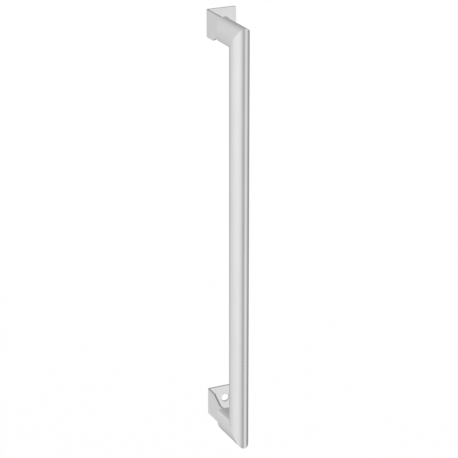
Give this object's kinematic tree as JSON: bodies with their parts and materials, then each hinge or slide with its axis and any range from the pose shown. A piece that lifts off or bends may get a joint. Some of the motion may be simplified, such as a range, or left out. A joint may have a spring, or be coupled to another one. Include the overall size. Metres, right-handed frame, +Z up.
{
  "type": "folding door handle",
  "caption": "Slim upright pull handle for a folding door: mitred oval aluminium tube grip on short arms, held by folded sheet brackets with screw holes in their back plates.",
  "frame": {"origin": "midway between the screw hole centres, on the back face that lies on the door", "axes": "+Z up along the grip, -Y out of the door towards the hand, +X to the right, the way the back plates point"},
  "size_m": [0.0275, 0.0626, 0.3098],
  "materials": {
    "tube": "satin silver anodised",
    "sheet": "satin silver anodised"
  },
  "bodies": {
    "root": {"grip_bar": "tube", "upper_arm": "tube", "lower_arm": "tube", "upper_bracket": "sheet", "lower_bracket": "sheet"}
  },
  "joints": []
}
